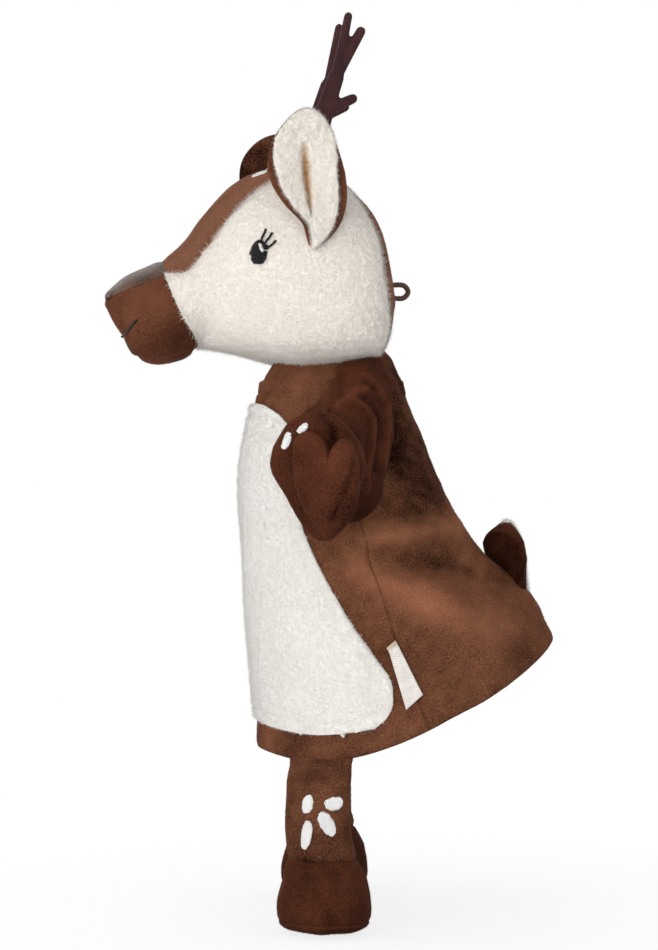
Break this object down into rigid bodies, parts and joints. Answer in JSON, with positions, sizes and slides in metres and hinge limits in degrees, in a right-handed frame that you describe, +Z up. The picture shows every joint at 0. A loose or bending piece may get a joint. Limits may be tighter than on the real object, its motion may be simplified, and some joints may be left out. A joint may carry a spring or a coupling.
{
  "type": "deer hand puppet",
  "caption": "Plush deer hand puppet: a flared cloth glove with a belly patch, a stuffed head with ears and antlers, finger sleeves with hooves, dangling legs and a curled tail.",
  "frame": {"origin": "middle of the hem opening, where the hand goes in", "axes": "+Z up through the head, -X the way the puppet faces, -Y its left side"},
  "size_m": [0.1653, 0.1692, 0.3304],
  "materials": {
    "brown_velour": "short pile velour",
    "dark_velour": "short pile velour",
    "muzzle_velour": "short pile velour",
    "light_velour": "short ribbed pile",
    "cream_sherpa": "curly sherpa pile",
    "white_sherpa": "curly sherpa pile",
    "stuffing": "polyester fill",
    "lining": "plain weave",
    "nose_suede": "suede",
    "antler_suede": "microfibre suede",
    "elastic": "round elastic cord",
    "black_thread": "satin stitch",
    "label_tape": "woven tape"
  },
  "bodies": {
    "glove": {"glove_front_panel": "brown_velour", "glove_back_panel": "brown_velour", "belly_patch": "white_sherpa", "woven_label": "label_tape"},
    "neck": {"neck_seam_band": "brown_velour"},
    "head": {"head_stuffing": "stuffing", "finger_pocket": "lining", "head_left_side": "cream_sherpa", "head_right_side": "cream_sherpa", "crown_strip": "light_velour", "muzzle_left": "muzzle_velour", "muzzle_right": "muzzle_velour", "chin_gusset": "muzzle_velour", "nose_leather": "nose_suede", "hanging_loop": "elastic", "left_eye": "black_thread", "right_eye": "black_thread", "left_antler": "antler_suede", "right_antler": "antler_suede"},
    "left_ear": {"left_ear_back": "brown_velour", "left_ear_lining": "cream_sherpa"},
    "right_ear": {"right_ear_back": "brown_velour", "right_ear_lining": "cream_sherpa"},
    "left_arm": {"left_sleeve": "brown_velour"},
    "right_arm": {"right_sleeve": "brown_velour"},
    "left_hand": {"left_hoof": "dark_velour", "left_hoof_heart": "dark_velour"},
    "right_hand": {"right_hoof": "dark_velour", "right_hoof_heart": "dark_velour"},
    "left_leg": {"left_shin": "brown_velour", "left_boot": "dark_velour", "left_sole": "dark_velour"},
    "right_leg": {"right_shin": "brown_velour", "right_boot": "dark_velour", "right_sole": "dark_velour"},
    "tail": {"tail_top": "brown_velour", "tail_under": "white_sherpa"}
  },
  "joints": [
    {"name": "head_turn", "type": "hinge", "parent": "glove", "child": "neck", "pos_m": [-0.03, 0, 0.115], "axis": [0, 0, 1], "range_deg": [-35, 35], "stiffness_Nm_per_rad": 0.03},
    {"name": "head_nod", "type": "hinge", "parent": "neck", "child": "head", "pos_m": [-0.03, 0, 0.155], "axis": [-0.1392, 0.9903, 0], "range_deg": [-14, 20], "stiffness_Nm_per_rad": 0.2},
    {"name": "left_ear_flop", "type": "hinge", "parent": "head", "child": "left_ear", "pos_m": [-0.0352, -0.0407, 0.15805], "axis": [0.9903, 0.1392, 0], "range_deg": [0, 35], "stiffness_Nm_per_rad": 0.02},
    {"name": "right_ear_flop", "type": "hinge", "parent": "head", "child": "right_ear", "pos_m": [-0.0464, 0.03765, 0.15805], "axis": [-0.9903, -0.1392, 0], "range_deg": [0, 35], "stiffness_Nm_per_rad": 0.02},
    {"name": "left_arm_swing", "type": "hinge", "parent": "glove", "child": "left_arm", "pos_m": [-0.02352, -0.02723, 0.09774], "axis": [0, 0, -1], "range_deg": [-12, 30]},
    {"name": "left_hoof_flex", "type": "hinge", "parent": "left_arm", "child": "left_hand", "pos_m": [-0.02735, -0.05136, 0.08885], "axis": [0.9877, -0.1564, 0], "range_deg": [-25, 25], "stiffness_Nm_per_rad": 0.05},
    {"name": "left_leg_swing", "type": "hinge", "parent": "glove", "child": "left_leg", "pos_m": [-0.02933, -0.04009, -0.0241], "axis": [-0.8387, 0.5446, 0], "range_deg": [-20, 50]},
    {"name": "right_arm_swing", "type": "hinge", "parent": "glove", "child": "right_arm", "pos_m": [-0.02352, 0.02723, 0.09774], "axis": [0, 0, 1], "range_deg": [-12, 30]},
    {"name": "right_hoof_flex", "type": "hinge", "parent": "right_arm", "child": "right_hand", "pos_m": [-0.02735, 0.05136, 0.08885], "axis": [-0.9877, -0.1564, 0], "range_deg": [-25, 25], "stiffness_Nm_per_rad": 0.05},
    {"name": "right_leg_swing", "type": "hinge", "parent": "glove", "child": "right_leg", "pos_m": [-0.02933, 0.04009, -0.0241], "axis": [0.8387, 0.5446, 0], "range_deg": [-20, 50]},
    {"name": "tail_flip", "type": "hinge", "parent": "glove", "child": "tail", "pos_m": [0.04955, 0, 0.03225], "axis": [0, 1, 0], "range_deg": [0, 55], "stiffness_Nm_per_rad": 0.02}
  ]
}
